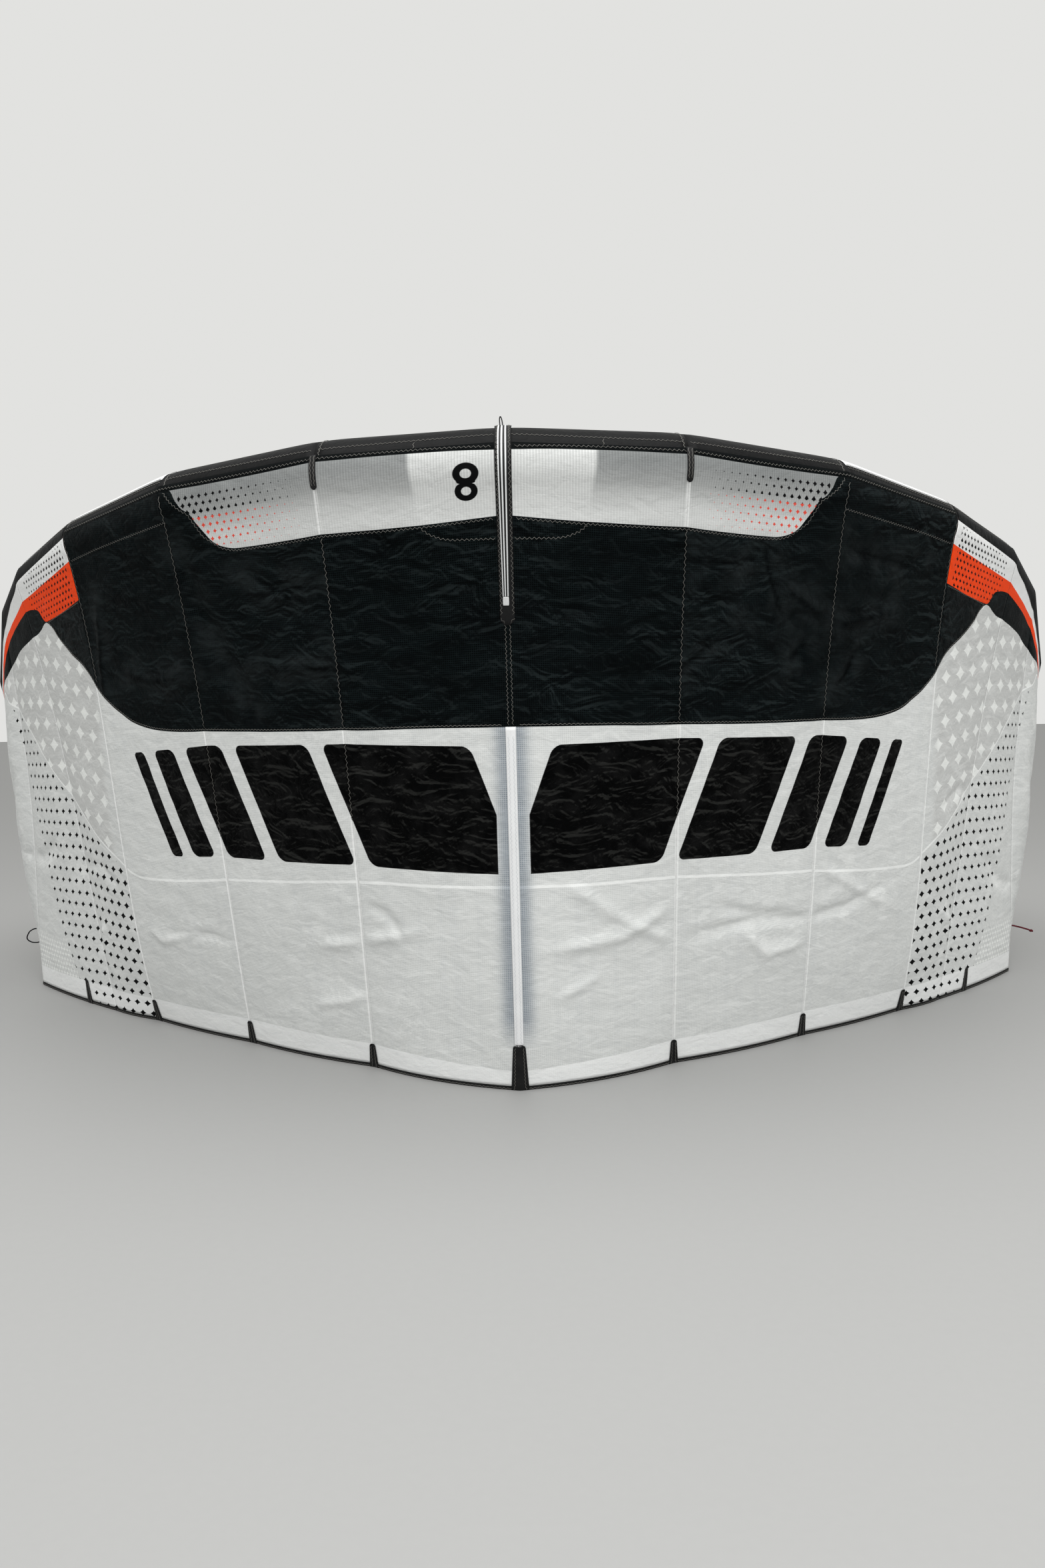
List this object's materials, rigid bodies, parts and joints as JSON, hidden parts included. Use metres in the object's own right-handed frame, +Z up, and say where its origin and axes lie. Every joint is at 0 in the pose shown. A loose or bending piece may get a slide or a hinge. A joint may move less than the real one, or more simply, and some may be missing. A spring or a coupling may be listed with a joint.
{
  "type": "kitesurfing kite",
  "caption": "Inflatable leading edge kite with struts and a ripstop canopy, standing on its trailing edge with its wing tips turned back.",
  "frame": {"origin": "centre of the bottom of the kite's box, on the ground, with the tip line ends left out", "axes": "+X along the span to the right of someone facing the outer side, -Y out of the outer side at the middle, +Z up"},
  "size_m": [3.1901, 2.21, 1.4666],
  "materials": {
    "dacron_black": "inflated tube cloth, black, slightly glossy",
    "canopy_ripstop": "coated ripstop, translucent white with black, grey and orange panels",
    "binding_tape": "woven black tape",
    "reinforcement": "heavy black cloth",
    "strut_dacron": "white tube cloth",
    "center_tape": "black cloth tape with white pinstripes",
    "line_red": "braided line",
    "line_black": "braided line"
  },
  "bodies": {
    "root": {"le_tube_1_r": "dacron_black", "le_tube_1_l": "dacron_black", "canopy_1_r": "canopy_ripstop", "canopy_1_l": "canopy_ripstop", "le_tube_2_r": "dacron_black", "le_tube_2_l": "dacron_black", "canopy_2_r": "canopy_ripstop", "canopy_2_l": "canopy_ripstop", "le_tube_3_r": "dacron_black", "le_tube_3_l": "dacron_black", "canopy_3_r": "canopy_ripstop", "canopy_3_l": "canopy_ripstop", "le_tube_4_r": "dacron_black", "le_tube_4_l": "dacron_black", "canopy_4_r": "canopy_ripstop", "canopy_4_l": "canopy_ripstop", "le_tube_5_r": "dacron_black", "le_tube_5_l": "dacron_black", "canopy_5_r": "canopy_ripstop", "canopy_5_l": "canopy_ripstop", "le_tube_6_r": "dacron_black", "le_tube_6_l": "dacron_black", "canopy_6_r": "canopy_ripstop", "canopy_6_l": "canopy_ripstop", "le_tube_7_r": "dacron_black", "le_tube_7_l": "dacron_black", "canopy_7_r": "canopy_ripstop", "canopy_7_l": "canopy_ripstop", "te_binding_1_r": "binding_tape", "te_binding_1_l": "binding_tape", "te_binding_2_r": "binding_tape", "te_binding_2_l": "binding_tape", "te_binding_3_r": "binding_tape", "te_binding_3_l": "binding_tape", "te_binding_4_r": "binding_tape", "te_binding_4_l": "binding_tape", "te_patch_1_r": "reinforcement", "te_patch_1_l": "reinforcement", "te_patch_2_r": "reinforcement", "te_patch_2_l": "reinforcement", "te_patch_3_r": "reinforcement", "te_patch_3_l": "reinforcement", "te_patch_4_r": "reinforcement", "te_patch_4_l": "reinforcement", "le_finger_r": "reinforcement", "le_finger_l": "reinforcement", "strut_r": "strut_dacron", "strut_l": "strut_dacron", "strut_center": "strut_dacron", "te_patch_center": "reinforcement", "center_tape": "center_tape", "center_strip": "strut_dacron", "le_loop": "binding_tape", "pigtail_r": "line_red", "pigtail_l": "line_black"}
  },
  "joints": []
}
